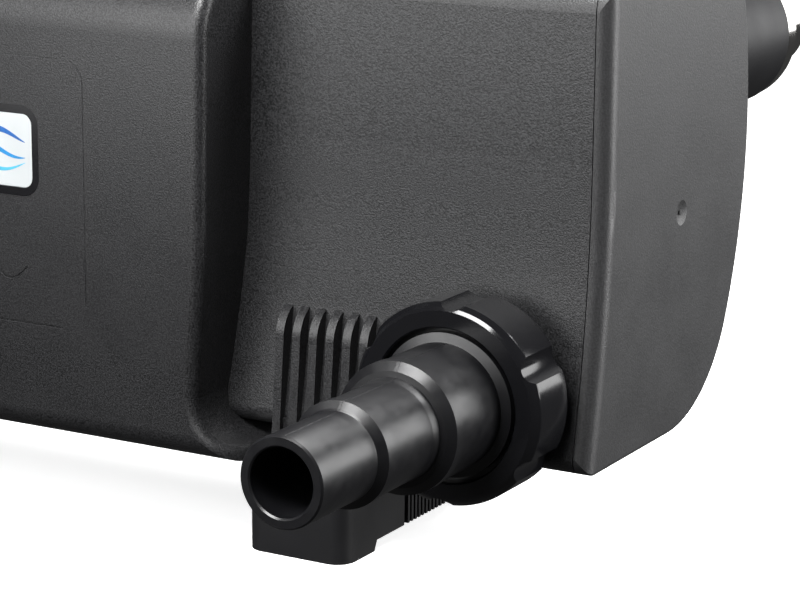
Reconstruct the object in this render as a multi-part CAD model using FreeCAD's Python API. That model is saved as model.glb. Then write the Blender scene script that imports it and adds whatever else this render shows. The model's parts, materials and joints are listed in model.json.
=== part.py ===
import FreeCAD, Part
import math
import os

# Horizontal flow-through pond canister filter with a UV-C lamp, in millimetres.
# Origin: centre of the four floor screw holes, on the surface the feet stand on.
# +X runs along the casing to its smooth end cap, the front with the hose tail faces -Y, +Z is up.
V = FreeCAD.Vector
X_AXIS, Y_AXIS, Z_AXIS = V(1, 0, 0), V(0, 1, 0), V(0, 0, 1)

# ---- casing ----
HALF_LEN = 274.2            # middle of the front cover to the outside of the end cap
CAP_SEAM = 267.0            # seam between the casing and each end cap
WALL = 4.0
WALL_Y = -67.0              # recessed front wall, upright above BEND_Z
BEND_Z, BEND_R = 165.0, 560.0    # below BEND_Z it sweeps forward on this radius
TOP_Z = 233.0
BOTTOM_Z = 48.5
TOP_FRONT_R = 12.5
BOTTOM_FRONT_R = 6.0
TOP_REAR_R = 30.0
BELLY_R = 60.0              # lower rear curve
BACK_R = 195.0              # long curve of the rear
BACK_Y = 65.5               # rearmost line of the casing
BACK_Z = 162.0

# ---- front cover: the raised middle block ----
COVER_FRONT = -102.5
COVER_BACK = -52.0          # rear edge of its top, and of the lip that hooks under the casing
COVER_BOTTOM = 37.5
COVER_TOP_R = 29.0
COVER_BOTTOM_R = 10.0
COVER_EDGE_R = 5.0
COVER_WALL = 3.5
COVER_X_MIN = 60.0          # its flanks lie outside this everywhere
FLANK_X = 113.3             # half width of the cover at FLANK_Z
FLANK_Z = 61.0
FLANK_SLOPE, FLANK_TOP_SLOPE = 0.070, 0.017     # the cover widens upwards, less above the knee
FLANK_KNEE, FLANK_BLEND = 122.0, 6.0
FLARE_R = 19.0              # its lower corner sweeps out on this radius
FLARE_LIP = 5.5             # thickness of the lip at the end of the sweep
FLARE_END = 133.5           # half width over the flared corners
FLARE_EDGE_R = 4.0
FLARE_GAP = 0.3             # left between the flared lip and the foot under it
LIP_FRONT = -87.0           # the hooked lip is solid behind here

# ---- badge and debossed outline ----
BADGE_W, BADGE_H, BADGE_Z, BADGE_R = 75.0, 30.0, 153.6, 4.5
BEZEL = 3.4
OUTLINE_X, OUTLINE_TOP, OUTLINE_R = 63.0, 192.0, 9.0
UNDERLINE_Z, UNDERLINE_X = 83.3, 51.0
WAVE_Z, WAVE_AMP, WAVE_LEN = 106.0, 5.0, 34.0
GROOVE, FINE_GROOVE = 1.0, 0.5
GROOVE_DEPTH, FINE_DEPTH = 0.4, 0.2

# ---- feet ----
FOOT_X0, FOOT_X1 = 128.6, 175.0
FOOT_Y = 89.0               # toe to centre
FOOT_FRONT = -76.0          # upright front of the foot, behind the ribs
TOE_TOP, SEAT_Z = 30.0, 31.0
PAD_LEN = 23.5
PAD_STEP = 4.2
TOE_R = 8.0
SCREW_X, SCREW_Y, SCREW_R = 153.5, 79.0, 2.75   # holes that fix the unit to its base
FRONT_PAD, REAR_PAD, WASHER_R = 24.0, 10.0, 6.0
FIN_DEPTH, FIN_T, FIN_PITCH, FIN_Y0, FIN_Y1 = 3.0, 1.5, 3.0, -41.5, 46.0
BOSS_Y = (-40.0, -10.0)     # foot screws, into bosses inside the casing
BOSS_R, BOSS_TOP = 6.0, 63.0
PILOT_LEN = 16.5            # of the cover screws' holes above their seat

# ---- ribs on the lower wall ----
RIB_X0, RIB_T, RIB_PITCH, RIB_COUNT = 137.0, 3.6, 7.6, 7
RIB_TOP, RIB_CURL, RIB_BOTTOM = 99.0, 14.0, COVER_BOTTOM
RIB_FRONT, RIB_FOOT = -78.6, -82.6   # front of a rib below its curl, and at its foot

# ---- inlet ----
IN_X, IN_Z = 227.3, 77.0
TAIL_FRONT = -219.0
NUT_FRONT, NUT_BACK = -106.0, -80.0
NUT_R, NUT_FACE_R, NUT_MOUTH_R = 38.9, 36.0, 29.5
FLUTES, FLUTE_AT, FLUTE_R = 6, 27.0, 7.0
TAIL_BORE = 12.4
STEP_R = (16.4, 18.9, 24.2)  # 32, 38 and 50 mm hose steps
PORT_R = 31.0               # outside of the threaded spigot
PORT_BORE, PORT_BORE_LEN = 22.0, 60.0
PORT_NECK_R = 24.0          # where the spigot passes through the wall
THREAD_GAP = 0.35
UNION_LIP = 4.5             # thickness of the union nut's front lip

PORT_FACE = -93.7            # sealing face of the spigot
GASKET_T, FLANGE_T, FLANGE_R = 2.2, 5.0, 30.5
FLUTE_DEPTH = 2.7

# ---- outlet ----
OUT_X, OUT_Z = 239.0, 191.5
SPIGOT_END = 118.5
SPIGOT_R = 30.5
RING_R, RING_LEN = 29.6, 14.0
RING_THREAD_R, THREAD_END = 26.0, 124.6
OUT_NECK_R, DUCT_BACK = 21.9, 44.0
PIPE_R, PIPE_BORE, PIPE_END = 20.5, 19.0, 164.0

# ---- inside ----
AXIS_Y, AXIS_Z = 0.0, 133.0  # lamp, sleeve, rotor and inner tube share this line along X
TUBE_R, TUBE_BORE = 44.0, 41.5
TUBE_X0, TUBE_X1 = -205.0, 200.0
DRUM_LEN, DUCT_HALF, DUCT_FRONT, DUCT_TOP, DUCT_WALL = 60.0, 22.0, -24.0, 217.0, 2.7
SLEEVE_R, SLEEVE_BORE = 22.0, 20.4
SLEEVE_X0, SLEEVE_X1 = -312.0, 188.0
LAMP_X0, LAMP_X1, LAMP_R, LAMP_GAP = -262.0, 168.0, 8.5, 9.7
BASE_LEN, PIN_R, PIN_Y = 24.0, 1.2, (-9.0, -3.0, 3.0, 9.0)
ROTOR_X0, ROTOR_X1 = -150.0, 150.0
ROTOR_RING_R, ROTOR_RING_W, ROTOR_BARS, ROTOR_VANES = 36.0, 12.0, 3, 6
BAR_IN, BAR_OUT = 30.5, 35.5    # from the axis to the bars' two faces
BUSH_R, RUN_GAP = 30.0, 0.08
COLLAR_R, COLLAR_BORE, COLLAR_END = 47.0, 40.0, -290.0
HEAD_R, HEAD_END = 38.0, -340.0
LOCK_R, LOCK_X0, LOCK_X1 = 56.0, -300.5, -277.0
LOCK_LIP, GRIPS = 4.7, 12
HEAD_GAP, PLUG_R, PLUG_LEN, FLANGE_RIM = 0.2, 39.6, 14.0, 46.0
GROOVE_IN, CLAMP_R, SLEEVE_SEAL_R = 2.4, 33.0, 25.3
FOAM_ENDS = (190.0, 62.0, -66.0, -194.0)
GRID_T, GRID_PITCH = 4.0, 12.0

# ---- end caps ----
CORNER_R, CAP_EDGE_R, DIMPLE_BALL = 6.5, 1.8, 13.0
SEAM_GAP, SEAM_DEPTH = 0.4, 0.6    # shadow line where a cap meets the casing
PLUG_X, PLUG_GAP, PLUG_T = 261.2, 0.1, 4.0       # rim that plugs into the casing
SEAL_X0, SEAL_X1, SEAL_T = 262.4, 265.2, 1.8
DIMPLE_Z, DIMPLE_DEPTH, NUB_R = AXIS_Z + 3.8, 1.0, 1.1

# ---- electrics ----
GLAND_NECK, GLAND_GAP, GLAND_Y, GLAND_Z = 6.0, 0.05, -88.0, (80.0, 105.0)
HEX_R, GLAND_R, GLAND_BORE = 10.5, 7.6, 5.2
GEAR_X, GEAR_Z0, GEAR_Z1, GEAR_Y = 98.0, 86.0, 178.0, -75.5
GEAR_SCREWS = ((-90.0, 92.0), (90.0, 92.0), (-90.0, 172.0), (90.0, 172.0))
TRAY_T, POST_R = 2.5, 4.0
COVER_SCREW_X, COVER_SCREW_Y, COVER_SEAT = (-80.0, 0.0, 80.0), -62.0, 42.5

# Screws: head radius, head height, shank radius, shank length. Gaps are on the radius.
COVER_SCREW = (4.0, 2.6, 1.9, 16.0)
FOOT_SCREW = (4.6, 3.0, 2.2, 26.0)
GEAR_SCREW = (3.4, 2.2, 1.75, 7.0)
SCREW_GAP, HEAD_ROOM = 0.2, 0.6
TOUCH = 0.01


def box(x0, x1, y0, y1, z0, z1):
    return Part.makeBox(x1 - x0, y1 - y0, z1 - z0, V(x0, y0, z0))


def rod(r, start, length, axis):
    return Part.makeCylinder(r, length, start, axis)


def pipe(r_out, r_in, start, length, axis):
    return rod(r_out, start, length, axis).cut(rod(r_in, start, length, axis))


def prism(points, axis, start, length):
    """Extrude a closed outline of straight runs, given in the plane square to the axis."""
    place = {"X": lambda a, b: V(start, a, b), "Y": lambda a, b: V(a, start, b),
             "Z": lambda a, b: V(a, b, start)}[axis]
    corners = [place(a, b) for a, b in points]
    face = Part.Face(Part.makePolygon(corners + corners[:1]))
    step = {"X": X_AXIS, "Y": Y_AXIS, "Z": Z_AXIS}[axis] * length
    return face.extrude(step)


def turned(profile, origin, axis):
    """Spin an outline of (distance along the axis, radius) points about the axis."""
    side = Z_AXIS
    points = [origin + axis * s + side * r for s, r in profile]
    face = Part.Face(Part.makePolygon(points + points[:1]))
    return face.revolve(origin, axis, 360)


def rounded_rect(half_w, z0, z1, r, y, depth):
    """A plate in the front plane with rounded corners, from y back by depth."""
    plate = box(-half_w, half_w, y, y + depth, z0, z1)
    edges = [e for e in plate.Edges if abs(e.tangentAt(e.FirstParameter).y) > 0.9]
    return plate.makeFillet(r, edges)


def arc(p, q, s):
    return Part.Arc(p, q, s).toShape()


def line(p, q):
    return Part.LineSegment(p, q).toShape()


def d_section(inset, x):
    """The casing's end-on outline: a front that sweeps forward, flat bottom, full curved rear."""
    front, bottom = WALL_Y + inset, BOTTOM_Z + inset
    belly, back, corner = BELLY_R - inset, BACK_R - inset, TOP_REAR_R - inset
    back_y, belly_z = BACK_Y - BACK_R, BOTTOM_Z + BELLY_R
    belly_y = back_y + math.sqrt((BACK_R - BELLY_R) ** 2 - (BACK_Z - belly_z) ** 2)
    low = math.atan2(belly_z - BACK_Z, belly_y - back_y)
    high = math.asin((TOP_Z - TOP_REAR_R - BACK_Z) / (BACK_R - TOP_REAR_R))
    corner_y = back_y + (BACK_R - TOP_REAR_R) * math.cos(high)
    corner_z = TOP_Z - TOP_REAR_R

    def on(cy, cz, r, angle):
        return V(x, cy + r * math.cos(angle), cz + r * math.sin(angle))

    down, up = -math.pi / 2, math.pi / 2
    top_r, foot_r, sweep = TOP_FRONT_R - inset, BOTTOM_FRONT_R, BEND_R + inset
    k = 1 - math.sqrt(0.5)
    top = corner_z + corner
    belly_start, join = on(belly_y, belly_z, belly, down), on(belly_y, belly_z, belly, low)
    shoulder, crown = on(back_y, BACK_Z, back, high), on(corner_y, corner_z, corner, up)
    sweep_y, foot_z = WALL_Y - BEND_R, bottom + foot_r
    foot_y = sweep_y + math.sqrt((sweep + foot_r) ** 2 - (BEND_Z - foot_z) ** 2)
    lean = math.atan2(foot_z - BEND_Z, foot_y - sweep_y)
    a, b = V(x, front + top_r, top), V(x, front, top - top_r)
    bend, c = V(x, front, BEND_Z), on(sweep_y, BEND_Z, sweep, lean)
    d = V(x, foot_y, bottom)
    edges = [
        line(d, belly_start),
        arc(belly_start, on(belly_y, belly_z, belly, (down + low) / 2), join),
        arc(join, on(back_y, BACK_Z, back, (low + high) / 2), shoulder),
        arc(shoulder, on(corner_y, corner_z, corner, (high + up) / 2), crown),
        line(crown, a),
        arc(a, V(x, front + top_r * k, top - top_r * k), b),
        line(b, bend),
        arc(bend, on(sweep_y, BEND_Z, sweep, lean / 2), c),
        arc(c, on(foot_y, foot_z, foot_r, (lean - math.pi + down) / 2), d),
    ]
    return Part.Face(Part.Wire(edges))


def d_solid(inset, x0, x1):
    return d_section(inset, x0).extrude(V(x1 - x0, 0, 0))


def flank(z, inset=0.0):
    """Half width of the raised block at a height."""
    lean = FLANK_SLOPE * (min(z, FLANK_KNEE) - FLANK_Z)
    return FLANK_X + lean + FLANK_TOP_SLOPE * max(0.0, z - FLANK_KNEE) - inset


# ---- casing, end caps and front cover ----

def flank_points(inset, y, side):
    """One flank in the front view: leaning out, blended at the knee, then nearly upright."""
    low, high = COVER_BOTTOM + inset, TOP_Z - inset
    lean, upright = math.atan(FLANK_SLOPE), math.atan(FLANK_TOP_SLOPE)
    middle, turn = (lean + upright) / 2, (lean - upright) / 2
    trim = FLANK_BLEND / math.tan(turn) * (1 / math.cos(turn) - 1)
    knee = V(flank(FLANK_KNEE, inset), y, FLANK_KNEE)
    spots = [V(flank(low, inset), y, low),
             knee - V(math.sin(lean), 0, math.cos(lean)) * FLANK_BLEND,
             knee - V(math.cos(middle), 0, -math.sin(middle)) * trim,
             knee + V(math.sin(upright), 0, math.cos(upright)) * FLANK_BLEND,
             V(flank(high, inset), y, high)]
    return [V(side * p.x, p.y, p.z) for p in spots]


def cover_view(inset, y):
    """Front view of the raised block, wider at the top."""
    flanks = [flank_points(inset, y, side) for side in (-1, 1)]
    edges = [line(flanks[0][0], flanks[1][0]), line(flanks[0][-1], flanks[1][-1])]
    for foot_end, leave, middle, join, top in flanks:
        edges += [line(foot_end, leave), arc(leave, middle, join), line(join, top)]
    return Part.Face(Part.Wire(Part.sortEdges(edges)[0]))


def cover_profile(inset, half_width):
    """Side view of the raised block, with a rolled top and bottom edge, as a bar along X."""
    front, low, high = COVER_FRONT + inset, COVER_BOTTOM + inset, TOP_Z - inset
    r_low, r_high = COVER_BOTTOM_R - inset, COVER_TOP_R - inset
    k = 1 - math.sqrt(0.5)
    x, back = -half_width, COVER_BACK
    pts = [V(x, back, low), V(x, front + r_low, low), V(x, front, low + r_low),
           V(x, front, high - r_high), V(x, front + r_high, high), V(x, back, high)]
    return Part.Face(Part.Wire([
        line(pts[0], pts[1]),
        arc(pts[1], V(x, front + r_low * k, low + r_low * k), pts[2]),
        line(pts[2], pts[3]),
        arc(pts[3], V(x, front + r_high * k, high - r_high * k), pts[4]),
        line(pts[4], pts[5]),
        line(pts[5], pts[0]),
    ])).extrude(V(2 * half_width, 0, 0))


def cover_block(inset):
    """The raised block: its side view and its front view, crossed."""
    view = cover_view(inset, COVER_FRONT - 1)
    return cover_profile(inset, CAP_SEAM).common(view.extrude(V(0, COVER_BACK - COVER_FRONT + 1, 0)))


def flare():
    """Lower right corner of the block: it sweeps out, and its lip curves back to the wall."""
    z0, lip = COVER_BOTTOM, COVER_BOTTOM + FLARE_LIP
    top, end, y = lip + FLARE_R, FLARE_END, COVER_FRONT
    edge = flank(top)
    k = FLARE_R * (1 - math.sqrt(0.5))
    corners = [V(edge - 30, y, z0), V(end, y, z0), V(end, y, lip), V(edge + FLARE_R, y, lip),
               V(edge, y, top), V(edge - 30, y, top)]
    edges = [line(p, q) for p, q in zip(corners, corners[1:] + corners[:1])]
    edges[3] = arc(corners[3], V(edge + k, y, lip + k), corners[4])
    view = Part.Face(Part.Wire(edges)).extrude(V(0, COVER_BACK - y, 0))
    plan = box(edge - 30, end, y, COVER_BACK, z0 - 1, top + 1)
    nose = [e for e in plan.Edges if abs(e.CenterOfMass.x - end) < 0.1 and abs(e.CenterOfMass.y - y) < 0.1]
    plan = plan.makeFillet(end - edge, nose)
    solid = view.common(plan).common(cover_profile(0, CAP_SEAM))
    rim = [e for e in solid.Edges if e.CenterOfMass.x > edge + 2 and e.CenterOfMass.z > lip - 0.1
           and e.CenterOfMass.y < y + end - edge - 1]
    return solid.makeFillet(FLARE_EDGE_R, rim)


def is_flank_front(edge):
    """Edges where a flank meets the rolled front, not those round the open back or across a flank."""
    points = [v.Point for v in edge.Vertexes]
    points.append(edge.valueAt((edge.FirstParameter + edge.LastParameter) / 2))
    on_flank = all(p.x * points[0].x > 0 and abs(p.x) > COVER_X_MIN for p in points)
    at_back = all(abs(p.y - COVER_BACK) < TOUCH for p in points)
    across = all(abs(p.z - points[0].z) < TOUCH for p in points)
    at_end = min(points[0].z - COVER_BOTTOM, TOP_Z - points[0].z) < TOUCH
    return on_flank and not at_back and (at_end or not across)


def wall_rib(x):
    """One front rib: its front leans out, its top curls back, and it ends below the casing."""
    back = WALL_Y + 1
    low, high = V(x, back, RIB_BOTTOM), V(x, back, RIB_TOP)
    knee = V(x, RIB_FRONT, RIB_TOP - RIB_CURL)
    mid = V(x, (RIB_FRONT + back) / 2 - 3.2, RIB_TOP - RIB_CURL * 0.34)
    toe = V(x, RIB_FOOT, RIB_BOTTOM)
    outline = [line(toe, knee), arc(knee, mid, high), line(high, low), line(low, toe)]
    rib = Part.Face(Part.Wire(outline)).extrude(V(RIB_T, 0, 0))
    return rib.cut(box(x - 1, x + RIB_T + 1, FOOT_FRONT, back + 1, RIB_BOTTOM - 1, BOTTOM_Z + 1))


def both_sides(shapes):
    return shapes + [s.mirror(V(0, 0, 0), X_AXIS) for s in shapes]


def fuse_all(shapes):
    return shapes[0].multiFuse(shapes[1:]).removeSplitter()


def groove(points, y, width, depth):
    """A shallow groove cut along a run of points in the front plane."""
    parts = []
    for p, q in zip(points, points[1:]):
        a, b = V(p[0], 0, p[1]), V(q[0], 0, q[1])
        along = b - a
        across = V(-along.z, 0, along.x)
        across.normalize()
        across = across * (width / 2)
        ring = [V(c.x, y, c.z) for c in (a + across, b + across, b - across, a - across)]
        parts.append(Part.Face(Part.makePolygon(ring + ring[:1])).extrude(V(0, depth, 0)))
        parts.append(rod(width / 2, V(q[0], y, q[1]), depth, Y_AXIS))
    return parts[0].multiFuse(parts[1:])


def outline_points():
    """Top and sides of the label panel, with rounded upper corners."""
    cx, cz = OUTLINE_X - OUTLINE_R, OUTLINE_TOP - OUTLINE_R
    turn = [(cx + OUTLINE_R * math.cos(math.radians(a)), cz + OUTLINE_R * math.sin(math.radians(a)))
            for a in range(0, 91, 15)]
    right = [(OUTLINE_X, UNDERLINE_Z + 10)] + turn
    return right + [(-x, z) for x, z in reversed(right)]


def wave_points():
    steps = 48
    span = 2 * WAVE_LEN
    return [(-span / 2 + span * i / steps,
             WAVE_Z + WAVE_AMP * math.sin(2 * math.pi * i / steps * 2)) for i in range(steps + 1)]


def front_cover():
    """Shell over the control gear: flared lower corners, a hooked lip, screw holes from below."""
    block = cover_block(0)
    block = block.makeFillet(COVER_EDGE_R, [e for e in block.Edges if is_flank_front(e)])
    shell = fuse_all([block] + both_sides([flare()]))
    hollow = cover_block(COVER_WALL).cut(box(-200, 200, LIP_FRONT, 0, 0, BOTTOM_Z))
    shell = shell.cut(hollow).cut(d_solid(0, -CAP_SEAM, CAP_SEAM))
    for x in COVER_SCREW_X:
        below = V(x, COVER_SCREW_Y, 0)
        shell = shell.cut(rod(COVER_SCREW[2] + SCREW_GAP, below, BOSS_TOP, Z_AXIS))
        shell = shell.cut(rod(COVER_SCREW[0] + HEAD_ROOM, below, COVER_SEAT, Z_AXIS))
    shell = shell.cut(at_cover(rod(GLAND_NECK + GLAND_GAP, V(-8, 0, 0), 20, X_AXIS)))
    shell = shell.cut(rounded_rect(BADGE_W / 2 + BEZEL, BADGE_Z - BADGE_H / 2 - BEZEL,
                                   BADGE_Z + BADGE_H / 2 + BEZEL, BADGE_R + BEZEL, COVER_FRONT, 1.6))
    underline = [(-UNDERLINE_X, UNDERLINE_Z), (UNDERLINE_X, UNDERLINE_Z)]
    for points, width, depth in ((outline_points(), FINE_GROOVE, FINE_DEPTH),
                                 (wave_points(), GROOVE, GROOVE_DEPTH),
                                 (underline, GROOVE, GROOVE_DEPTH)):
        shell = shell.cut(groove(points, COVER_FRONT, width, depth))
    return shell


def floor_bosses(gap=0.0):
    """Screw bosses that stand on the casing's floor, for the cover and both feet."""
    places = [(x, COVER_SCREW_Y) for x in COVER_SCREW_X]
    places += [(x, y) for x in (-SCREW_X, SCREW_X) for y in BOSS_Y]
    return [rod(BOSS_R + gap, V(x, y, BOTTOM_Z + 1), BOSS_TOP + gap - BOTTOM_Z - 1, Z_AXIS)
            for x, y in places]


def casing():
    """Main shell, with ribs outside, screw bosses inside and posts for the gear tray."""
    ribs = [wall_rib(RIB_X0 + RIB_PITCH * i) for i in range(RIB_COUNT)]
    comb_end = RIB_X0 + RIB_PITCH * (RIB_COUNT - 1) + RIB_T
    sill = box(RIB_X0, comb_end, FOOT_FRONT - 3, FOOT_FRONT, RIB_BOTTOM, BOTTOM_Z + 5)
    posts = [rod(POST_R, V(x, GEAR_Y, z), WALL_Y + 1 - GEAR_Y, Y_AXIS) for x, z in GEAR_SCREWS]
    outer = fuse_all([d_solid(0, -CAP_SEAM, CAP_SEAM)] + both_sides(ribs + [sill]) + posts)
    shell = outer.cut(d_solid(WALL, -CAP_SEAM - 1, CAP_SEAM + 1))
    shell = fuse_all([shell] + [b.common(d_solid(1, -CAP_SEAM, CAP_SEAM)) for b in floor_bosses()])
    for x in COVER_SCREW_X:
        shell = shell.cut(rod(COVER_SCREW[2], V(x, COVER_SCREW_Y, 0), COVER_SEAT + PILOT_LEN, Z_AXIS))
    for x in (-SCREW_X, SCREW_X):
        for y in BOSS_Y:
            shell = shell.cut(rod(FOOT_SCREW[2], V(x, y, 0), SEAT_Z + FOOT_SCREW[3] + 1, Z_AXIS))
    for x, z in GEAR_SCREWS:
        shell = shell.cut(rod(GEAR_SCREW[2], V(x, GEAR_Y - 1, z), GEAR_SCREW[3] + 0.6, Y_AXIS))
    shell = shell.cut(rod(PORT_NECK_R, V(IN_X, PORT_FACE, IN_Z), PORT_BORE_LEN, Y_AXIS))
    return shell.cut(rod(OUT_NECK_R, V(OUT_X, 30, OUT_Z), 60, Y_AXIS))


# ---- caps, feet and badge ----

def end_cap():
    """Smooth right end: rounded front corner, small rear bead, a gate dimple, and a plug rim."""
    plate = d_solid(0, CAP_SEAM, HALF_LEN)
    rim = [e for e in plate.Edges if abs(e.BoundBox.XMin - HALF_LEN) < TOUCH]
    plate = plate.makeFillet(CAP_EDGE_R, rim).cut(front_corner())
    seam = d_solid(-1, CAP_SEAM, CAP_SEAM + SEAM_GAP)
    plate = plate.cut(seam.cut(d_solid(SEAM_DEPTH, CAP_SEAM - 1, CAP_SEAM + 1)))
    dimple = Part.makeSphere(DIMPLE_BALL, V(HALF_LEN + DIMPLE_BALL - DIMPLE_DEPTH, 0, DIMPLE_Z))
    nub = rod(NUB_R, V(HALF_LEN - 1.6, 0, DIMPLE_Z), 1.2, X_AXIS)
    outside = WALL + PLUG_GAP
    plug = d_solid(outside, PLUG_X, CAP_SEAM).cut(d_solid(WALL + PLUG_T, PLUG_X - 1, CAP_SEAM))
    seat = d_solid(outside, SEAL_X0, SEAL_X1).cut(d_solid(WALL + SEAL_T, SEAL_X0, SEAL_X1))
    return plate.cut(dimple).fuse(nub).fuse(plug.cut(seat)).removeSplitter()


def front_corner():
    """What is taken off the cap's front corner to round it, all the way down the swept wall."""
    x, y, z, r = HALF_LEN, WALL_Y, BEND_Z, CORNER_R
    k = r * (1 - math.sqrt(0.5))
    start, end = V(x, y + r, z), V(x - r, y, z)
    outer = [end, V(x - r, y - 1, z), V(x + 1, y - 1, z), V(x + 1, y + r, z), start]
    edges = [line(p, q) for p, q in zip(outer, outer[1:])]
    face = Part.Face(Part.Wire(edges + [arc(start, V(x - k, y + k, z), end)]))
    pivot = V(0, WALL_Y - BEND_R, BEND_Z)
    return face.extrude(V(0, 0, TOP_Z - BEND_Z + 1)).fuse(face.revolve(pivot, -X_AXIS, 14))


def end_seal():
    return d_solid(WALL, SEAL_X0, SEAL_X1).cut(d_solid(WALL + SEAL_T, SEAL_X0, SEAL_X1))


def left_cap():
    """The lamp end: the same moulding without the dimple, opened for the lamp collar."""
    cap = end_cap().mirror(V(0, 0, 0), X_AXIS)
    return cap.cut(rod(COLLAR_BORE, V(-HALF_LEN - 1, AXIS_Y, AXIS_Z), 30, X_AXIS))


def foot(side):
    """Moulded foot: toes at both ends, a raised sole, fins on the outer side, screw holes."""
    y = FOOT_Y
    heel = y - PAD_LEN
    profile = [(-y, 0), (-heel, 0), (-heel + 2, PAD_STEP), (heel - 2, PAD_STEP), (heel, 0), (y, 0),
               (y, 14), (70, 18), (46, 56), (FOOT_FRONT, 56), (FOOT_FRONT, TOE_TOP), (-y, TOE_TOP)]
    block = prism(profile, "X", FOOT_X0, FOOT_X1 - FOOT_X0)
    corners = [e for e in block.Edges
               if abs(e.tangentAt(e.FirstParameter).z) > 0.9 and abs(abs(e.CenterOfMass.y) - y) < 1]
    block = block.makeFillet(TOE_R, corners)
    outer = FOOT_X1 - FIN_DEPTH
    block = block.cut(box(outer, FOOT_X1 + 1, FIN_Y0, FIN_Y1, 0, 70))
    count = int((FIN_Y1 - FIN_Y0) / FIN_PITCH)
    fins = [box(outer - 0.5, FOOT_X1, FIN_Y0 + FIN_PITCH * i, FIN_Y0 + FIN_PITCH * i + FIN_T,
                PAD_STEP, 70) for i in range(1, count)]
    block = block.multiFuse([f.common(prism(profile, "X", FOOT_X0, 60)) for f in fins])
    under_flare = box(FOOT_X0 - 1, FLARE_END + FLARE_GAP, FOOT_FRONT - 1, COVER_BACK + FLARE_GAP,
                      COVER_BOTTOM - FLARE_GAP, BOSS_TOP)
    block = block.cut(d_solid(0, 0, CAP_SEAM)).cut(under_flare)
    for hole_y in (-SCREW_Y, SCREW_Y):
        block = block.cut(rod(SCREW_R, V(SCREW_X, hole_y, -1), 40, Z_AXIS))
        top = FRONT_PAD if hole_y < 0 else REAR_PAD
        block = block.cut(rod(WASHER_R, V(SCREW_X, hole_y, top), 40, Z_AXIS))
    for boss_y in BOSS_Y:
        below = V(SCREW_X, boss_y, 0)
        block = block.cut(rod(FOOT_SCREW[2] + SCREW_GAP, below, BOSS_TOP, Z_AXIS))
        block = block.cut(rod(FOOT_SCREW[0] + HEAD_ROOM, below, SEAT_Z, Z_AXIS))
    block = block.removeSplitter()
    return block if side > 0 else block.mirror(V(0, 0, 0), X_AXIS)


def screw(head_at, axis, head_r, head_h, shank_r, length):
    """Pan-head screw with a cross recess, its head pointing along the axis from head_at."""
    head = rod(head_r, head_at, head_h, axis)
    rim = [e for e in head.Edges if abs((e.CenterOfMass - head_at).dot(axis) - head_h) < 0.01
           and e.Length < 2 * math.pi * head_r + 0.01 and e.Curve.TypeId == "Part::GeomCircle"]
    head = head.makeFillet(head_h * 0.45, rim)
    shank = rod(shank_r, head_at - axis * length, length, axis)
    whole = head.fuse(shank)
    top = head_at + axis * head_h
    side = X_AXIS if abs(axis.x) < 0.5 else Y_AXIS
    other = axis.cross(side)
    for a, b in ((side, other), (other, side)):
        ring = [top + a * i * head_r * 0.5 + b * j * head_r * 0.12
                for i, j in ((-1, -1), (1, -1), (1, 1), (-1, 1))]
        slot = Part.Face(Part.makePolygon(ring + ring[:1])).extrude(axis * (-head_h * 0.5))
        whole = whole.cut(slot)
    return whole


def foot_screws():
    """Four screws up through the feet into the casing's bosses."""
    places = [(x, y) for x in (-SCREW_X, SCREW_X) for y in BOSS_Y]
    return Part.makeCompound([screw(V(x, y, SEAT_Z), -Z_AXIS, *FOOT_SCREW) for x, y in places])


def cover_screws():
    places = [(x, COVER_SCREW_Y) for x in COVER_SCREW_X]
    return Part.makeCompound([screw(V(x, y, COVER_SEAT), -Z_AXIS, *COVER_SCREW) for x, y in places])


def badge_bezel():
    z0, z1 = BADGE_Z - BADGE_H / 2, BADGE_Z + BADGE_H / 2
    y = COVER_FRONT + 0.2
    ring = rounded_rect(BADGE_W / 2 + BEZEL - 0.1, z0 - BEZEL + 0.1, z1 + BEZEL - 0.1,
                        BADGE_R + BEZEL - 0.1, y, 1.4)
    return ring.cut(rounded_rect(BADGE_W / 2, z0, z1, BADGE_R, y - 1, 3))


def badge_plate():
    z0, z1 = BADGE_Z - BADGE_H / 2, BADGE_Z + BADGE_H / 2
    plate = rounded_rect(BADGE_W / 2, z0, z1, BADGE_R, COVER_FRONT + 0.4, 1.2)
    front = [e for e in plate.Edges if abs(e.BoundBox.YMax - COVER_FRONT - 0.4) < 0.01]
    return plate.makeFillet(0.35, front)


# ---- inlet ----

def inlet_port():
    """Threaded spigot on the front wall, its bore carried through the casing."""
    start = V(IN_X, PORT_FACE, IN_Z)
    spigot = rod(PORT_R, start, WALL_Y - PORT_FACE, Y_AXIS).cut(d_solid(0, 0, CAP_SEAM))
    neck = rod(PORT_NECK_R, start, WALL_Y + 1 - PORT_FACE, Y_AXIS).cut(d_solid(WALL, 0, CAP_SEAM))
    bore = rod(PORT_BORE, start - Y_AXIS, PORT_BORE_LEN, Y_AXIS)
    return spigot.fuse(neck).cut(bore).removeSplitter()


def inlet_gasket():
    return pipe(30.0, PORT_BORE, V(IN_X, PORT_FACE - GASKET_T, IN_Z), GASKET_T, Y_AXIS)


def hose_tail():
    """Stepped tail for three hose sizes, with a flange that the union nut pulls home."""
    flange = PORT_FACE - GASKET_T - TAIL_FRONT
    length = flange - FLANGE_T
    profile = [(0, TAIL_BORE + 0.6), (0, 15.8), (0.8, STEP_R[0]), (36.4, STEP_R[0]), (37.0, 17.0),
               (38.9, 19.5), (43.6, 19.5), (44.4, STEP_R[1]), (75.4, STEP_R[1]), (75.8, 21.6),
               (78.2, 24.8), (83.0, 24.8), (83.8, STEP_R[2]), (length - 5.5, STEP_R[2]),
               (length - 4.0, 27.6), (length, 27.6), (length, FLANGE_R), (flange, FLANGE_R),
               (flange, PORT_BORE - 1), (80, PORT_BORE - 2), (42, 15.2), (36, TAIL_BORE),
               (0.6, TAIL_BORE)]
    return turned(profile, V(IN_X, TAIL_FRONT, IN_Z), Y_AXIS)


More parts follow.
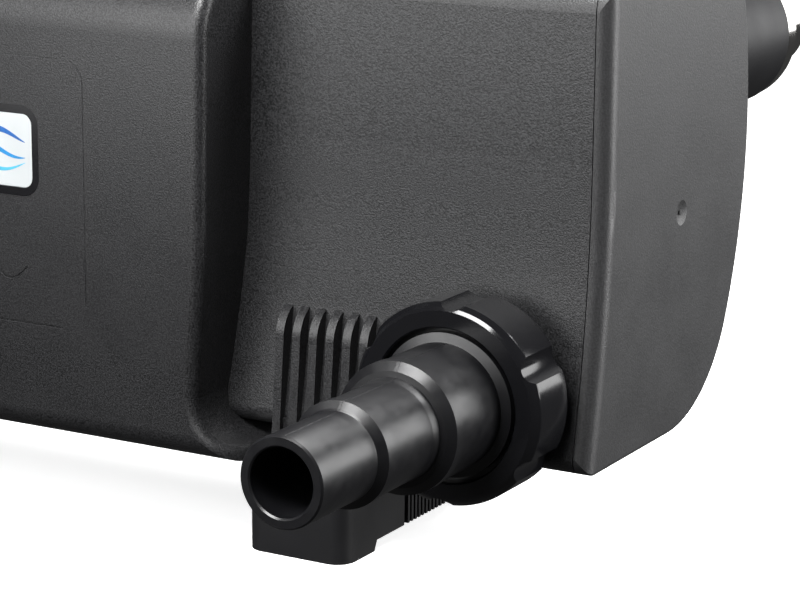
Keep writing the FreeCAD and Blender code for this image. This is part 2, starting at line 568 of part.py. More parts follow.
def union_nut():
    """Captive nut with six scooped finger grips; its thread is a plain bore."""
    length = NUT_BACK - NUT_FRONT
    inner = PORT_R + THREAD_GAP
    profile = [(0, NUT_MOUTH_R + 0.6), (0, NUT_FACE_R), (1.0, NUT_FACE_R + 1.2), (3.0, NUT_R - 0.1),
               (3.6, NUT_R), (length - 1.5, NUT_R), (length, NUT_R - 1.5), (length, inner + 0.6),
               (length - 0.6, inner), (UNION_LIP, inner), (UNION_LIP, NUT_MOUTH_R),
               (0.6, NUT_MOUTH_R)]
    origin = V(IN_X, NUT_FRONT, IN_Z)
    nut = turned(profile, origin, Y_AXIS)
    scoops = []
    for i in range(FLUTES):
        a = math.radians(FLUTE_AT + 360 / FLUTES * i)
        reach = NUT_R + FLUTE_R - FLUTE_DEPTH
        scoops.append(rod(FLUTE_R, origin + V(reach * math.cos(a), -1, reach * math.sin(a)),
                          length + 2, Y_AXIS))
    return nut.cut(scoops[0].multiFuse(scoops[1:]))


# ---- outlet ----

def outlet_port():
    """Round spigot that grows out of the curved back, stepped down to a threaded end."""
    body = rod(SPIGOT_R, V(OUT_X, 50, OUT_Z), SPIGOT_END - 50, Y_AXIS).cut(d_solid(0, 0, 300))
    neck = rod(OUT_NECK_R, V(OUT_X, DUCT_BACK, OUT_Z), 40, Y_AXIS)
    thread = rod(RING_THREAD_R, V(OUT_X, SPIGOT_END - 1, OUT_Z), THREAD_END - SPIGOT_END + 1, Y_AXIS)
    bore = rod(PIPE_BORE, V(OUT_X, DUCT_BACK - 4, OUT_Z), 100, Y_AXIS)
    return fuse_all([body, neck, thread]).cut(bore)


def outlet_gasket():
    return pipe(RING_THREAD_R - 0.6, 21.0, V(OUT_X, THREAD_END, OUT_Z), GASKET_T, Y_AXIS)


def outlet_pipe():
    """Polished steel pipe with a flange at the union."""
    start = THREAD_END + GASKET_T
    length = PIPE_END - start
    profile = [(0, PIPE_BORE), (0, RING_THREAD_R - 0.4), (2.0, RING_THREAD_R - 0.4),
               (2.0, PIPE_R + 1.6), (2.5, PIPE_R + 0.6), (3.6, PIPE_R),
               (length - 0.6, PIPE_R), (length, PIPE_R - 0.6), (length, PIPE_BORE)]
    return turned(profile, V(OUT_X, start, OUT_Z), Y_AXIS)


def outlet_ring():
    """Polished steel union ring with a rolled edge."""
    y0 = SPIGOT_END + 0.4
    inner = RING_THREAD_R + THREAD_GAP
    lip = THREAD_END + GASKET_T + 2.0 - y0
    mouth = PIPE_R + 2.0
    profile = [(0, inner + 0.5), (0, RING_R - 1.4), (0.5, RING_R - 0.4), (1.4, RING_R),
               (RING_LEN - 4.0, RING_R), (RING_LEN - 2.0, RING_R - 0.8), (RING_LEN - 0.6, RING_R - 2.6),
               (RING_LEN, RING_R - 4.6), (RING_LEN, mouth + 0.4), (RING_LEN - 0.4, mouth),
               (lip, mouth), (lip, inner), (0.5, inner)]
    return turned(profile, V(OUT_X, y0, OUT_Z), Y_AXIS)


# ---- water path and filter media ----

def reaction_tube():
    return pipe(TUBE_R, TUBE_BORE, V(TUBE_X0, AXIS_Y, AXIS_Z), TUBE_X1 - TUBE_X0, X_AXIS)


def outlet_manifold():
    """Closed end of the inner tube with a duct up to the outlet."""
    drum = rod(TUBE_R, on_axis(TUBE_X1), DRUM_LEN, X_AXIS)
    duct = box(OUT_X - DUCT_HALF, OUT_X + DUCT_HALF, DUCT_FRONT, DUCT_BACK, AXIS_Z, DUCT_TOP)
    hollow = rod(TUBE_BORE, on_axis(TUBE_X1 - 1), DRUM_LEN - 2, X_AXIS)
    inside = DUCT_HALF - DUCT_WALL
    shaft = box(OUT_X - inside, OUT_X + inside, DUCT_FRONT + DUCT_WALL, DUCT_BACK - DUCT_WALL,
                AXIS_Z, DUCT_TOP - DUCT_WALL)
    bore = rod(PIPE_BORE, V(OUT_X, DUCT_BACK - 5, OUT_Z), 10, Y_AXIS)
    return drum.fuse(duct).cut(hollow).cut(shaft).cut(bore).removeSplitter()


def media(x0, x1):
    """A block of foam that fills the casing round the inner tube."""
    block = d_solid(WALL + 0.5, x0, x1)
    block = block.cut(rod(TUBE_R + 0.4, V(x0 - 1, AXIS_Y, AXIS_Z), x1 - x0 + 2, X_AXIS))
    return block.cut(floor_bosses(0.4))


def media_grid(x):
    """Perforated plate that holds the foam back."""
    plate = media(x, x + GRID_T)
    holes = []
    for i in range(-4, 5):
        for j in range(-6, 7):
            y, z = i * GRID_PITCH, AXIS_Z + j * GRID_PITCH
            clear_tube = math.hypot(y - AXIS_Y, z - AXIS_Z) > TUBE_R + 7
            if clear_tube and inside_d(y, z, 12):
                holes.append(rod(4.0, V(x - 1, y, z), GRID_T + 2, X_AXIS))
    return plate.cut(holes[0].multiFuse(holes[1:]))


def inside_d(y, z, margin):
    return d_section(margin, 0).isInside(V(0, y, z), 0.01, True)


# ---- lamp, sleeve and rotor ----

def on_axis(x):
    return V(x, AXIS_Y, AXIS_Z)


def quartz_sleeve():
    """Clear tube, open at the lamp head and domed at its inner end."""
    bend = SLEEVE_X1 - SLEEVE_R
    tube = rod(SLEEVE_R, on_axis(SLEEVE_X0), bend - SLEEVE_X0, X_AXIS)
    tube = tube.fuse(Part.makeSphere(SLEEVE_R, on_axis(bend)))
    core = rod(SLEEVE_BORE, on_axis(SLEEVE_X0 - 1), bend - SLEEVE_X0 + 1, X_AXIS)
    core = core.fuse(Part.makeSphere(SLEEVE_BORE, on_axis(bend)))
    return tube.cut(core).removeSplitter()


def uv_lamp():
    """Twin-tube lamp on a square base."""
    length = LAMP_X1 - LAMP_X0
    tubes = [rod(LAMP_R, V(LAMP_X0, AXIS_Y + s * LAMP_GAP, AXIS_Z), length, X_AXIS) for s in (-1, 1)]
    bridge = rod(4.0, V(LAMP_X1 - 9, AXIS_Y - LAMP_GAP, AXIS_Z), 2 * LAMP_GAP, Y_AXIS)
    return fuse_all(tubes + [bridge])


def lamp_base():
    body = box(LAMP_X0 - BASE_LEN, LAMP_X0, AXIS_Y - 15.5, AXIS_Y + 15.5, AXIS_Z - 11, AXIS_Z + 11)
    edges = [e for e in body.Edges if abs(e.tangentAt(e.FirstParameter).x) > 0.9]
    start = LAMP_X0 - BASE_LEN - 7
    pins = [rod(PIN_R, V(start, AXIS_Y + y, AXIS_Z), 8, X_AXIS) for y in PIN_Y]
    return fuse_all([body.makeFillet(4.0, edges)] + pins)


def lamp_socket():
    x1 = LAMP_X0 - BASE_LEN
    body = box(x1 - 16, x1, AXIS_Y - 15, AXIS_Y + 15, AXIS_Z - 10, AXIS_Z + 10)
    for y in PIN_Y:
        body = body.cut(rod(PIN_R + 0.1, V(x1 - 9, AXIS_Y + y, AXIS_Z), 10, X_AXIS))
    return body


def rotor():
    """Frame that the flow turns round the sleeve: two end rings, three bars, six vanes."""
    inner = BUSH_R + RUN_GAP
    rings = [pipe(ROTOR_RING_R, inner, on_axis(x), ROTOR_RING_W, X_AXIS)
             for x in (ROTOR_X0, ROTOR_X1 - ROTOR_RING_W)]
    bars = []
    for i in range(ROTOR_BARS):
        bar = box(ROTOR_X0 + 11, ROTOR_X1 - 11, AXIS_Y - 2.5, AXIS_Y + 2.5,
                  AXIS_Z + BAR_IN, AXIS_Z + BAR_OUT)
        bar.rotate(on_axis(0), X_AXIS, 360 / ROTOR_BARS * i)
        bars.append(bar)
    vanes = []
    for i in range(ROTOR_VANES):
        vane = box(ROTOR_X1 - 44, ROTOR_X1 - 11, AXIS_Y - 1.0, AXIS_Y + 1.0, AXIS_Z + 32, AXIS_Z + 42)
        vane.rotate(on_axis(ROTOR_X1 - 27), Z_AXIS, 24)
        vane.rotate(on_axis(0), X_AXIS, 360 / ROTOR_VANES * i)
        vanes.append(vane)
    hub = pipe(35.0, 31.0, on_axis(ROTOR_X1 - 46), 36, X_AXIS)
    swept = rod(40.4, on_axis(ROTOR_X0 - 5), ROTOR_X1 - ROTOR_X0 + 10, X_AXIS)
    return fuse_all(rings + bars + [hub] + vanes).common(swept)


def rotor_brushes():
    strips = []
    for i in range(ROTOR_BARS):
        strip = box(ROTOR_X0 + 16, ROTOR_X1 - 50, AXIS_Y - 1.2, AXIS_Y + 1.2,
                    AXIS_Z + SLEEVE_R + 0.4, AXIS_Z + BAR_IN)
        strip.rotate(on_axis(0), X_AXIS, 360 / ROTOR_BARS * i)
        strips.append(strip)
    return Part.makeCompound(strips)


def rotor_bush(x, outward):
    """Fixed bearing ring held in the tube by three arms, with a flange that keeps the rotor in."""
    f0, f1 = sorted((x + outward * 0.4, x + outward * 4.4))
    r0, r1 = sorted((x + outward * 4.4, x - outward * 14))
    ring = pipe(BUSH_R, 26.0, on_axis(r0), r1 - r0, X_AXIS)
    flange = pipe(34.0, 26.0, on_axis(f0), f1 - f0, X_AXIS)
    arms = []
    for i in range(3):
        arm = box(f0, f1, AXIS_Y - 3, AXIS_Y + 3, AXIS_Z + 32, AXIS_Z + 43)
        arm.rotate(on_axis(0), X_AXIS, 120 * i + 60)
        arms.append(arm)
    reach = rod(TUBE_BORE, on_axis(f0 - 1), f1 - f0 + 2, X_AXIS)
    return fuse_all([ring, flange] + [a.common(reach) for a in arms])


def sleeve_support():
    """Spider near the inner end of the sleeve, clear of it all round."""
    x = SLEEVE_X1 - 33
    ring = pipe(26.0, SLEEVE_R + 0.3, on_axis(x), 8, X_AXIS)
    arms = []
    for i in range(3):
        arm = box(x, x + 8, AXIS_Y - 2, AXIS_Y + 2, AXIS_Z + 25, AXIS_Z + 43)
        arm.rotate(on_axis(0), X_AXIS, 120 * i)
        arms.append(arm.common(rod(TUBE_BORE, on_axis(x - 1), 10, X_AXIS)))
    return fuse_all([ring] + arms)


def lamp_collar():
    """Threaded collar on the left cap that takes the locking ring."""
    return pipe(COLLAR_R, COLLAR_BORE, on_axis(COLLAR_END), -HALF_LEN - COLLAR_END, X_AXIS)


def lamp_head():
    """Plug-in head that carries the lamp: flange, plug with a seal groove, domed cap."""
    face = COLLAR_END - HEAD_GAP - HEAD_END
    flange = LOCK_X0 + LOCK_LIP + 0.3 - HEAD_END
    sleeve = SLEEVE_X0 - HEAD_END
    end = face + PLUG_LEN
    seat = SLEEVE_R + 0.15
    profile = [(0, 0), (0, 26), (1.6, 31), (5, 35), (9, HEAD_R - 0.6), (12, HEAD_R),
               (flange, HEAD_R), (flange, FLANGE_RIM), (face, FLANGE_RIM), (face, PLUG_R),
               (face + 4.0, PLUG_R), (face + 4.0, PLUG_R - GROOVE_IN), (face + 7.2, PLUG_R - GROOVE_IN),
               (face + 7.2, PLUG_R), (end, PLUG_R), (end, CLAMP_R + 0.05),
               (end - 6, CLAMP_R + 0.05), (end - 6, SLEEVE_SEAL_R), (end - 10, SLEEVE_SEAL_R),
               (end - 10, seat), (sleeve, seat), (sleeve, 30), (6, 30), (6, 0)]
    head = turned(profile, V(HEAD_END, AXIS_Y, AXIS_Z), X_AXIS)
    return head.cut(rod(GLAND_NECK + GLAND_GAP, on_axis(HEAD_END - 1), 10, X_AXIS))


def head_o_ring():
    centre = on_axis(COLLAR_END - HEAD_GAP + 5.6)
    return Part.makeTorus(PLUG_R - GROOVE_IN + 1.3, 1.3, centre, X_AXIS)


def sleeve_o_ring():
    x = COLLAR_END - HEAD_GAP + PLUG_LEN - 10
    return pipe(SLEEVE_SEAL_R - 0.05, SLEEVE_R, on_axis(x), 4, X_AXIS)


def sleeve_clamp():
    """Flat ring nut that squeezes the seal on the sleeve."""
    x = COLLAR_END - HEAD_GAP + PLUG_LEN - 6
    ring = pipe(CLAMP_R, SLEEVE_R + 0.4, on_axis(x), 6, X_AXIS)
    for i in range(4):
        hole = rod(1.8, V(x + 2, AXIS_Y, AXIS_Z + 28), 5, X_AXIS)
        hole.rotate(on_axis(0), X_AXIS, 90 * i + 45)
        ring = ring.cut(hole)
    return ring


def locking_ring():
    """Hand ring with twelve grips that holds the lamp head to its collar."""
    length = LOCK_X1 - LOCK_X0
    inner = COLLAR_R + THREAD_GAP
    mouth = HEAD_R + 0.4
    profile = [(0, mouth + 0.8), (0, LOCK_R - 5), (1.5, LOCK_R - 2.4), (4, LOCK_R - 0.6), (6, LOCK_R),
               (length - 1.5, LOCK_R), (length, LOCK_R - 1.5), (length, inner + 0.6),
               (length - 0.6, inner), (LOCK_LIP, inner), (LOCK_LIP, mouth), (0.8, mouth)]
    origin = on_axis(LOCK_X0)
    ring = turned(profile, origin, X_AXIS)
    scoops = []
    for i in range(GRIPS):
        a = math.radians(360 / GRIPS * i)
        reach = LOCK_R + FLUTE_R - FLUTE_DEPTH
        scoops.append(rod(FLUTE_R, origin + V(-1, reach * math.cos(a), reach * math.sin(a)),
                          length + 2, X_AXIS))
    return ring.cut(scoops[0].multiFuse(scoops[1:]))


# ---- cable glands, control gear ----

def hexagon(r, x0, x1):
    """Six-sided bar along X, measured to its corners."""
    pts = [(r * math.cos(math.radians(60 * i)), r * math.sin(math.radians(60 * i))) for i in range(6)]
    return prism(pts, "X", x0, x1 - x0)


def gland_body():
    shape = fuse_all([hexagon(HEX_R, -5, 0), rod(GLAND_NECK, V(-1, 0, 0), 9, X_AXIS),
                      rod(GLAND_R, V(-13, 0, 0), 9, X_AXIS)])
    return shape.cut(rod(GLAND_BORE, V(-20, 0, 0), 40, X_AXIS))


def gland_nut():
    shape = hexagon(HEX_R, -16, -5.3)
    dome = turned([(-22, 0), (-22, 6.0), (-20.6, 7.6), (-16, 9.0), (-16, 0)], V(0, 0, 0), X_AXIS)
    shape = shape.fuse(dome).cut(rod(GLAND_R + 0.1, V(-13.6, 0, 0), 10, X_AXIS))
    return shape.cut(rod(4.0, V(-23, 0, 0), 30, X_AXIS)).removeSplitter()


def gland_seal():
    """Blank rubber insert, as the gland is closed until a cable is fitted."""
    return rod(GLAND_BORE - 0.1, V(-13, 0, 0), 11, X_AXIS)


def at_cover(shape):
    """Two copies on the cover's left flank, square to the leaning wall."""
    copies = []
    for z in GLAND_Z:
        piece = shape.copy()
        piece.rotate(V(0, 0, 0), Y_AXIS, -math.degrees(math.atan(FLANK_SLOPE)))
        piece.translate(V(-flank(z), GLAND_Y, z))
        copies.append(piece)
    return Part.makeCompound(copies)


def at_head(shape):
    piece = shape.copy()
    piece.translate(on_axis(HEAD_END))
    return piece


def gear_tray():
    """Plate with two lips, screwed to four posts on the casing, behind the cover."""
    plate = box(-GEAR_X, GEAR_X, GEAR_Y - TRAY_T, GEAR_Y, GEAR_Z0, GEAR_Z1)
    lips = [box(-GEAR_X, GEAR_X, GEAR_Y - 7, GEAR_Y, z, z + 2) for z in (GEAR_Z0, GEAR_Z1 - 2)]
    plate = fuse_all([plate] + lips)
    for x, z in GEAR_SCREWS:
        plate = plate.cut(rod(GEAR_SCREW[2] + SCREW_GAP, V(x, GEAR_Y - 10, z), 20, Y_AXIS))
    return plate


def ballast():
    body = box(-74, 60, GEAR_Y - 20.5, GEAR_Y - TRAY_T, GEAR_Z0 + 8, GEAR_Z0 + 56)
    edges = [e for e in body.Edges if abs(e.tangentAt(e.FirstParameter).x) > 0.9]
    feet = [box(x, x + 12, GEAR_Y - 5, GEAR_Y - TRAY_T, GEAR_Z0 + 26, GEAR_Z0 + 42) for x in (-85, 59)]
    return fuse_all([body.makeFillet(2.0, edges)] + feet)


def terminal_block():
    body = box(-60, 10, GEAR_Y - 16, GEAR_Y - TRAY_T, GEAR_Z0 + 66, GEAR_Z0 + 84)
    for i in range(7):
        body = body.cut(rod(2.2, V(-55 + 10 * i, GEAR_Y - 17, GEAR_Z0 + 75), 6, Y_AXIS))
    return body


def gear_screws():
    return Part.makeCompound([screw(V(x, GEAR_Y - TRAY_T, z), -Y_AXIS, *GEAR_SCREW)
                              for x, z in GEAR_SCREWS])


nodes = {
    "casing": casing(),
    "right_end_cap": end_cap(),
    "right_end_seal": end_seal(),
    "left_end_cap": left_cap(),
    "left_end_seal": end_seal().mirror(V(0, 0, 0), X_AXIS),
    "front_cover": front_cover(),
    "cover_screws": cover_screws(),
    "badge_bezel": badge_bezel(),
    "badge_plate": badge_plate(),
    "right_foot": foot(1),
    "left_foot": foot(-1),
    "foot_screws": foot_screws(),
    "inlet_port": inlet_port(),
    "inlet_gasket": inlet_gasket(),
    "inlet_hose_tail": hose_tail(),
    "inlet_union_nut": union_nut(),
    "outlet_port": outlet_port(),
    "outlet_gasket": outlet_gasket(),
    "outlet_pipe": outlet_pipe(),
    "outlet_union_ring": outlet_ring(),
    "outlet_manifold": outlet_manifold(),
    "reaction_tube": reaction_tube(),
    "right_media_grid": media_grid(FOAM_ENDS[0]),
    "coarse_foam": media(FOAM_ENDS[1] + 0.2, FOAM_ENDS[0]),
    "medium_foam": media(FOAM_ENDS[2] + 0.2, FOAM_ENDS[1]),
    "fine_foam": media(FOAM_ENDS[3] + 0.2, FOAM_ENDS[2]),
    "left_media_grid": media_grid(FOAM_ENDS[3] - GRID_T),
    "quartz_sleeve": quartz_sleeve(),
    "sleeve_support": sleeve_support(),
    "sleeve_o_ring": sleeve_o_ring(),
    "sleeve_clamp": sleeve_clamp(),
    "uv_lamp": uv_lamp(),
    "lamp_base": lamp_base(),
    "lamp_socket": lamp_socket(),
    "lamp_collar": lamp_collar(),
    "lamp_head": lamp_head(),
    "head_o_ring": head_o_ring(),
    "head_locking_ring": locking_ring(),
    "cleaning_rotor": rotor(),
    "rotor_brushes": rotor_brushes(),
    "left_rotor_bush": rotor_bush(ROTOR_X0, -1),
    "right_rotor_bush": rotor_bush(ROTOR_X1, 1),
    "cover_gland_bodies": at_cover(gland_body()),
    "cover_gland_nuts": at_cover(gland_nut()),
    "cover_gland_seals": at_cover(gland_seal()),
    "head_gland_body": at_head(gland_body()),
    "head_gland_nut": at_head(gland_nut()),
    "head_gland_seal": at_head(gland_seal()),
    "gear_tray": gear_tray(),
    "ballast": ballast(),
    "terminal_block": terminal_block(),
    "gear_screws": gear_screws(),
}

os.makedirs("parts", exist_ok=True)
for name, shape in nodes.items():
    if not shape.isValid() or not shape.Solids:
        print("check this shape:", name)
    shape.exportStep("parts/" + name + ".step")
print(len(nodes), "nodes,", sum(len(shape.Solids) for shape in nodes.values()), "solids")
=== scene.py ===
import bpy
import bmesh
import json
import math
import random
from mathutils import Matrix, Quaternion, Vector, noise


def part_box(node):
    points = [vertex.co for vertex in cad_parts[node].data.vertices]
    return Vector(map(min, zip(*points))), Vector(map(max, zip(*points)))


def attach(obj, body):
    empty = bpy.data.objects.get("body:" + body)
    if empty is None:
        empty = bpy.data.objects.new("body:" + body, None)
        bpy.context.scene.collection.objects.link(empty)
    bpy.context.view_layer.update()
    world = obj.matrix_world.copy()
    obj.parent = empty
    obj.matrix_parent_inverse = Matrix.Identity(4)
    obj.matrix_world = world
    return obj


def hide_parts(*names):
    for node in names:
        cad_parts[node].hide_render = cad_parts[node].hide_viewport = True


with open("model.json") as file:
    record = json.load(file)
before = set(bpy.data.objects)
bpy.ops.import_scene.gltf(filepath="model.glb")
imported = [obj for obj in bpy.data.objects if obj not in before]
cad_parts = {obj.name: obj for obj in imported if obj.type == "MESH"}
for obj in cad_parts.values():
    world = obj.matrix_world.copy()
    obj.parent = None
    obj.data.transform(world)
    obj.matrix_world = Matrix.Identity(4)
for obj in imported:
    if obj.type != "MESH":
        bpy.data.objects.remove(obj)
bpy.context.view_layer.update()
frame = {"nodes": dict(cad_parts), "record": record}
record = frame["record"]
slot_of = {part["node"]: part["material_slot"] for part in record["subparts"]}
joints = {joint["name"]: joint for joint in record["behaviour"]["joints"]}
random.seed(7)

MM = 0.001

# ---- camera: place, direction and lens ----
CAMERA_AT = Vector((0.6817, -0.9423, 0.3403))
AZIMUTH = math.radians(29.5)
ELEVATION = math.radians(13.2)
ROLL = math.radians(0.5)
LENS = 120.24
SENSOR = 36.0

# ---- linear colours ----
CHARCOAL = (0.017, 0.017, 0.018)
CAP_GREY = (0.026, 0.026, 0.027)
SOOT = (0.010, 0.010, 0.011)
JET = (0.006, 0.006, 0.007)
WAVE_BLUES = ((0.012, 0.10, 0.34), (0.02, 0.22, 0.50), (0.08, 0.42, 0.60))
IVORY = (0.62, 0.60, 0.52)

# ---- badge print: three wave bands ----
WAVE_MARGIN = 3.5 * MM          # bare plate at each end
WAVE_PITCH = 5.2 * MM           # from one band down to the next
WAVE_SWING = 3.0 * MM
WAVE_TURNS = 1.6                # waves in a band's length
WAVE_LAG = 0.21                 # of a wave, from one band to the next
WAVE_STEPS = 72
WAVE_HALF = 1.7 * MM            # half the top band's width
WAVE_THINNER = 0.3 * MM         # taken off that for each band below
WAVE_TAPER = 0.6
WAVE_END = 0.08                 # share of the width left at the tips
PRINT_PROUD = 0.06 * MM
PRINT_ROOT = 0.4 * MM

# ---- parting lines of the hose tail ----
PARTING_ANGLES = (3, 183)       # degrees round the tail from its top
PARTING_STEPS = 240
PARTING_HALF = 0.3 * MM
PARTING_PROUD = 0.16 * MM
RAY_START = 80 * MM             # outside the tail's widest step
TAIL_END_GAP = 1.2 * MM
NUT_GAP = 0.5 * MM

# ---- rotor bristles ----
STRIPS = 3
STRIP_HALF = 0.05               # radians
STRIP_DEPTH = 1.6 * MM
BRISTLE_ROWS = (-0.025, 0.0, 0.025)
BRISTLE_PITCH = 1.5 * MM
BRISTLE_END = 0.8 * MM          # bare strip at each end
BRISTLE_SET = 1.0 * MM          # how deep a bristle is set in its strip
BRISTLE_ROOT = 0.22 * MM
BRISTLE_TIP = 0.1 * MM
BRISTLE_LEAN = 0.7 * MM         # most that a tip leans along the axis
BRISTLE_TWIST = 0.02            # and round it, in radians
BRISTLE_SHORT = 0.5 * MM        # most that a bristle falls short
SLEEVE_GAP = 0.3 * MM

# ---- foam blocks: node, pores per metre, pit depth ----
FOAM_SKINS = (
    ("coarse_foam", 150.0, 2.4 * MM),
    ("medium_foam", 200.0, 1.6 * MM),
    ("fine_foam", 260.0, 1.0 * MM),
)
FOAM_VOXEL = 4.0 * MM
FINE_PORES = 2.3                # fine pits to each coarse one
FINE_DEPTH = 0.5

# ---- lamp electrodes ----
WIRE_R = 0.25 * MM
WIRE_LEN = 22 * MM
COIL_AT = 24 * MM               # from the base end of the tube
COIL_R = 0.9 * MM
COIL_HALF = 3 * MM
COIL_TURNS = 9
COIL_STEPS = 10                 # points in a turn

# ---- studio ----
FLOOR_HALF = 6.0
FLOOR_GREY = 0.88
FLOOR_GLOW = 0.75
ROOM_LIGHT = 0.05
ROOM_SEEN = 1.0
SOFTBOXES = (   # name, place, aimed at, width, height, watts
    ("top_back", (0.45, 0.60, 1.15), (0.2, -0.12, 0.1), 1.1, 0.6, 36),
    ("right_back", (1.75, 1.90, 0.52), (0.27, -0.05, 0.10), 2.3, 1.0, 30),
    ("strip", (0.80, 0.10, 0.27), (0.2, -0.08, 0.20), 0.22, 0.50, 4),
    ("key", (0.16, -0.62, 0.85), (0.2, -0.07, 0.18), 0.5, 0.3, 13),
    ("front_card", (0.06, -0.52, 0.29), (0.24, -0.2, 0.29), 0.60, 0.34, 2.1),
    ("fill", (-0.7, -1.45, 0.75), (0.1, -0.08, 0.12), 1.0, 0.7, 5),
)


# ---- materials ----

class Look:
    """One procedural material: nodes are added round its principled shader."""

    def __init__(self, name, colour, roughness, metallic=0.0, **sockets):
        self.material = bpy.data.materials.new(name)
        self.material.use_nodes = True
        self.tree = self.material.node_tree
        self.shader = self.tree.nodes["Principled BSDF"]
        self.colour = colour
        self.roughness = roughness
        self.shader.inputs["Base Color"].default_value = (*colour, 1)
        self.shader.inputs["Roughness"].default_value = roughness
        self.shader.inputs["Metallic"].default_value = metallic
        for socket, value in sockets.items():
            self.shader.inputs[socket.replace("_", " ")].default_value = value
        self.place = self.add("ShaderNodeTexCoord").outputs["Object"]
        self.normal = None

    def add(self, kind, inputs=None, **settings):
        """One node, with each input linked to a socket or set to a value."""
        node = self.tree.nodes.new(kind)
        for key, value in settings.items():
            setattr(node, key, value)
        for key, value in (inputs or {}).items():
            if isinstance(value, bpy.types.NodeSocket):
                self.tree.links.new(value, node.inputs[key])
            else:
                node.inputs[key].default_value = value
        return node

    def noise(self, scale, detail=2.0, rough=0.5, stretch=None):
        """Soft noise with that many features to a metre."""
        place = self.place
        if stretch:
            place = self.add("ShaderNodeMapping", {"Vector": place, "Scale": stretch}).outputs[0]
        return self.add("ShaderNodeTexNoise", {"Vector": place, "Scale": scale, "Detail": detail,
                                               "Roughness": rough}).outputs["Fac"]

    def cells(self, scale):
        """Distance from the centres of random cells, that many to a metre."""
        return self.add("ShaderNodeTexVoronoi", {"Vector": self.place, "Scale": scale},
                        feature="F1").outputs["Distance"]

    def spread(self, value, low, high):
        """The middle of a noise, stretched between two values."""
        return self.add("ShaderNodeMapRange", {"Value": value, "From Min": 0.3, "From Max": 0.7,
                                               "To Min": low, "To Max": high}).outputs["Result"]

    def mottle(self, scale, amount):
        """Colour that drifts a little lighter and darker over the surface."""
        darker = [c * (1 - amount) for c in self.colour]
        lighter = [c * (1 + amount) for c in self.colour]
        return self.tint(self.noise(scale, detail=3.0), 0.3, 0.7, darker, lighter)

    def tint(self, value, low_at, high_at, low_colour, high_colour):
        """Colour that follows a value between two stops."""
        ramp = self.add("ShaderNodeValToRGB", {"Fac": value})
        low, high = ramp.color_ramp.elements
        low.position, high.position = low_at, high_at
        low.color, high.color = (*low_colour, 1), (*high_colour, 1)
        self.tree.links.new(ramp.outputs["Color"], self.shader.inputs["Base Color"])
        return self

    def vary_gloss(self, scale, amount):
        """Roughness that wanders by the amount to either side."""
        rough = self.spread(self.noise(scale, detail=3.0), self.roughness - amount, self.roughness + amount)
        self.tree.links.new(rough, self.shader.inputs["Roughness"])
        return self

    def bump(self, height, depth):
        """Relief of that depth in metres, laid over any earlier relief."""
        settings = {"Height": height, "Distance": depth, "Strength": 1.0}
        if self.normal is not None:
            settings["Normal"] = self.normal
        self.normal = self.add("ShaderNodeBump", settings).outputs["Normal"]
        self.tree.links.new(self.normal, self.shader.inputs["Normal"])
        return self


def moulded(name, colour, roughness, grain, depth, gloss=0.03, metallic=0.0, **sockets):
    """Injection-moulded plastic: fine grain, faint flow marks and uneven gloss."""
    look = Look(name, colour, roughness, metallic, **sockets)
    look.mottle(scale=22.0, amount=0.08)
    look.vary_gloss(scale=55.0, amount=gloss)
    look.bump(look.noise(scale=26.0), depth=0.03 * MM)
    look.bump(look.noise(grain, detail=1.5, rough=0.6), depth)
    return look.material


def pebbled(name, colour, roughness, grain, depth, speckle):
    """Spark-eroded grain: tiny pebbles, each a little lighter or darker than the next."""
    look = Look(name, colour, roughness)
    pebbles = look.noise(grain, detail=1.0, rough=0.55)
    darker = [c * (1 - speckle) for c in colour]
    lighter = [c * (1 + speckle) for c in colour]
    look.tint(pebbles, 0.36, 0.64, darker, lighter)
    look.vary_gloss(scale=40.0, amount=0.03)
    look.bump(look.noise(scale=18.0), depth=0.04 * MM)
    look.bump(pebbles, depth)
    return look.material


def scuffed(name, colour, roughness):
    """Semi-gloss black with fine handling marks along its length."""
    look = Look(name, colour, roughness)
    look.mottle(scale=60.0, amount=0.15)
    look.vary_gloss(scale=160.0, amount=0.05)
    look.bump(look.noise(scale=240.0, detail=3.0, rough=0.6, stretch=(1, 0.12, 1)), depth=0.012 * MM)
    look.bump(look.noise(scale=2600.0, detail=1.0), depth=0.006 * MM)
    return look.material


def polished(name, colour, roughness, stretch):
    """Polished metal with fine marks left by the buff."""
    look = Look(name, colour, roughness, 1.0)
    look.vary_gloss(scale=90.0, amount=0.02)
    look.bump(look.noise(scale=900.0, stretch=stretch), depth=0.004 * MM)
    return look.material


def rubber(name):
    """Matt black rubber for seals and gaskets."""
    look = Look(name, SOOT, 0.62)
    look.mottle(scale=120.0, amount=0.2)
    look.bump(look.noise(scale=2600.0), depth=0.01 * MM)
    return look.material


def foam(name, colour, pore):
    """Open-cell foam: lighter struts, with painted shade darkening the pores between them."""
    look = Look(name, colour, 0.9)
    cells = look.cells(pore)
    # painted shade: the colour falls to 12% of the foam's own colour towards each pore's centre
    look.tint(cells, 0.15, 0.75, [c * 0.12 for c in colour], colour)
    look.bump(cells, depth=0.8 * MM)
    return look.material


def clear(name, colour, roughness, ior):
    """Drawn glass or quartz with faint draw lines along its length."""
    look = Look(name, colour, roughness, IOR=ior, Transmission_Weight=1.0)
    look.vary_gloss(scale=70.0, amount=0.01)
    look.bump(look.noise(scale=120.0, stretch=(0.05, 1, 1)), depth=0.004 * MM)
    return look.material


def printed(name, colour):
    """Screen-printed ink on the badge."""
    look = Look(name, colour, 0.32)
    look.mottle(scale=500.0, amount=0.12)
    look.bump(look.noise(scale=1800.0), depth=0.003 * MM)
    return look.material


